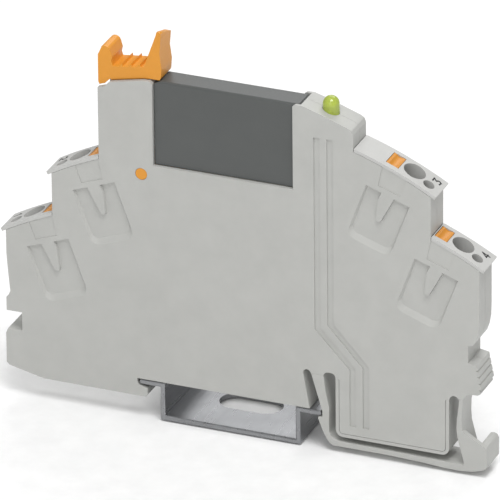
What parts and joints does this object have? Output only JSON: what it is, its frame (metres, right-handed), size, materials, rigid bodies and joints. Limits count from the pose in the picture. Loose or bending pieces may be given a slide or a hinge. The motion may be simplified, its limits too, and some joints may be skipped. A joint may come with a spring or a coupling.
{
  "type": "industrial control relay",
  "caption": "Slim plug-in relay module on a rail section: push-in terminals both sides, signal lamp and orange ejector lever.",
  "frame": {"origin": "middle of the rail across its width, on the bottom of the rail, in the middle plane of the module's 6.2 mm thickness", "axes": "+X along the module towards the coil terminals and the sprung rail foot, +Y across its thickness along the rail, +Z away from the rail towards the lever and lamp"},
  "size_m": [0.0928, 0.02, 0.0761],
  "materials": {
    "housing": "fine spark-eroded polyamide",
    "terminal_head": "fine spark-eroded polyamide",
    "button": "satin polyamide",
    "lever": "satin polyamide",
    "relay_case": "fine matt moulding",
    "relay_base": "matt moulding",
    "lamp_lens": "clear yellow-green epoxy",
    "zinc_steel": "bright zinc plate",
    "spring_steel": "rolled spring strip",
    "copper_alloy": "tinned copper alloy",
    "soft_iron": "nickel-plated iron",
    "winding": "enamelled copper wire",
    "circuit_board": "green solder mask",
    "component_black": "moulded epoxy",
    "resistor_body": "lacquered ceramic",
    "inner_plastic": "natural moulding"
  },
  "bodies": {
    "housing": {"front_shell": "housing", "rear_shell": "housing", "terminal_head_1": "terminal_head", "terminal_head_2": "terminal_head", "terminal_head_3": "terminal_head", "terminal_head_4": "terminal_head", "clamp_spring_1": "spring_steel", "clamp_spring_2": "spring_steel", "clamp_spring_3": "spring_steel", "clamp_spring_4": "spring_steel", "current_bar_1": "copper_alloy", "current_bar_2": "copper_alloy", "current_bar_3": "copper_alloy", "current_bar_4": "copper_alloy", "circuit_board": "circuit_board", "bridge_rectifier": "component_black", "flyback_diode": "component_black", "series_resistor": "resistor_body", "signal_lamp": "lamp_lens", "socket_carrier": "inner_plastic", "socket_contacts_coil": "copper_alloy", "socket_contact_common": "copper_alloy", "socket_contact_switched": "copper_alloy"},
    "relay": {"relay_case": "relay_case", "relay_base": "relay_base", "coil_bobbin": "inner_plastic", "coil_winding": "winding", "coil_core": "soft_iron", "coil_yoke": "soft_iron", "coil_pins": "copper_alloy", "common_pin": "copper_alloy", "fixed_contact_open": "copper_alloy", "fixed_contact_closed": "copper_alloy"},
    "armature": {"armature": "soft_iron"},
    "card": {"actuator_card": "inner_plastic"},
    "blade": {"moving_contact": "copper_alloy"},
    "lever": {"ejector_lever": "lever"},
    "foot": {"rail_foot": "housing"},
    "rail": {"rail_section": "zinc_steel"},
    "button_1": {"push_button_1": "button"},
    "button_2": {"push_button_2": "button"},
    "button_3": {"push_button_3": "button"},
    "button_4": {"push_button_4": "button"}
  },
  "joints": [
    {"name": "lever_tilt", "type": "hinge", "parent": "housing", "child": "lever", "pos_m": [-0.0165, 0, 0.0483], "axis": [0, -1, 0], "range_deg": [0, 22]},
    {"name": "relay_lift", "type": "slide", "parent": "housing", "child": "relay", "axis": [0, 0, 1], "range_m": [0, 0.00307]},
    {"name": "foot_release", "type": "slide", "parent": "housing", "child": "foot", "axis": [1, 0, 0], "range_m": [0, 0.001], "stiffness_N_per_m": 9000},
    {"name": "rail_slide", "type": "slide", "parent": "housing", "child": "rail", "axis": [0, 1, 0], "range_m": [-0.008, 0.0203]},
    {"name": "armature_pull", "type": "hinge", "parent": "relay", "child": "armature", "pos_m": [0.0005, 0, 0.05445], "axis": [0, 1, 0], "range_deg": [0, 2.4], "stiffness_Nm_per_rad": 0.02, "springref_deg": -2.86},
    {"name": "card_shift", "type": "slide", "parent": "relay", "child": "card", "axis": [1, 0, 0], "range_m": [0, 0.000446]},
    {"name": "blade_bend", "type": "hinge", "parent": "relay", "child": "blade", "pos_m": [-0.0027, 0, 0.0537], "axis": [0, 1, 0], "range_deg": [0, 2.28]},
    {"name": "button_1_press", "type": "slide", "parent": "housing", "child": "button_1", "axis": [0.4226, 0, -0.9063], "range_m": [0, 0.0016], "stiffness_N_per_m": 1500, "springref_m": -0.0008, "deforming": ["clamp_spring_1"]},
    {"name": "button_2_press", "type": "slide", "parent": "housing", "child": "button_2", "axis": [0.4226, 0, -0.9063], "range_m": [0, 0.0016], "stiffness_N_per_m": 1500, "springref_m": -0.0008, "deforming": ["clamp_spring_2"]},
    {"name": "button_3_press", "type": "slide", "parent": "housing", "child": "button_3", "axis": [-0.4226, 0, -0.9063], "range_m": [0, 0.0016], "stiffness_N_per_m": 1500, "springref_m": -0.0008, "deforming": ["clamp_spring_3"]},
    {"name": "button_4_press", "type": "slide", "parent": "housing", "child": "button_4", "axis": [-0.4226, 0, -0.9063], "range_m": [0, 0.0016], "stiffness_N_per_m": 1500, "springref_m": -0.0008, "deforming": ["clamp_spring_4"]}
  ],
  "couplings": [
    {"joint": "lever_tilt", "follows": "relay_lift", "rad_per_m": 125},
    {"joint": "card_shift", "follows": "armature_pull", "m_per_rad": 0.01045},
    {"joint": "blade_bend", "follows": "armature_pull", "ratio": 0.93304}
  ]
}
